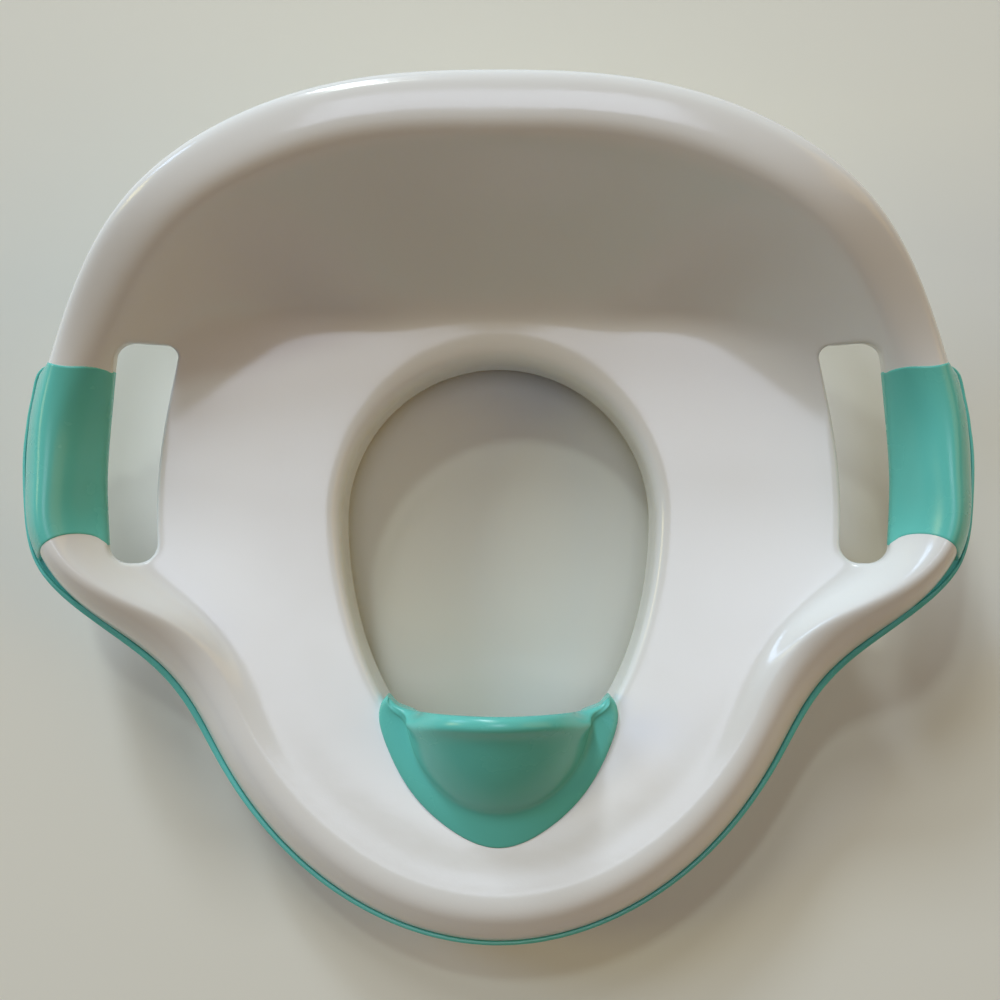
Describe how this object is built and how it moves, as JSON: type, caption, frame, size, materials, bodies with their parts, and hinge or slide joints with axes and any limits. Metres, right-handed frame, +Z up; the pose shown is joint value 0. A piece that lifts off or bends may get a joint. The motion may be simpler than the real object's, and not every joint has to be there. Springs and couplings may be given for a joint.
{
  "type": "potty training seat",
  "caption": "Moulded toddler toilet seat with high rolled backrest, side handle slots with soft grips, egg-shaped hole, splash guard and soft non-slip edge.",
  "frame": {"origin": "middle of the overall plan, at the height of the locating collar's lower face", "axes": "+X across the seat to the sitter's left as seen from above with the backrest at the top, +Y towards the backrest, +Z up"},
  "size_m": [0.3814, 0.3381, 0.1308],
  "materials": {
    "white_shell": "glossy moulded white polypropylene",
    "soft_teal": "satin soft thermoplastic rubber"
  },
  "bodies": {
    "root": {"seat_shell": "white_shell", "grip_left": "soft_teal", "grip_right": "soft_teal", "non_slip_edge": "soft_teal", "splash_guard": "soft_teal"}
  },
  "joints": []
}
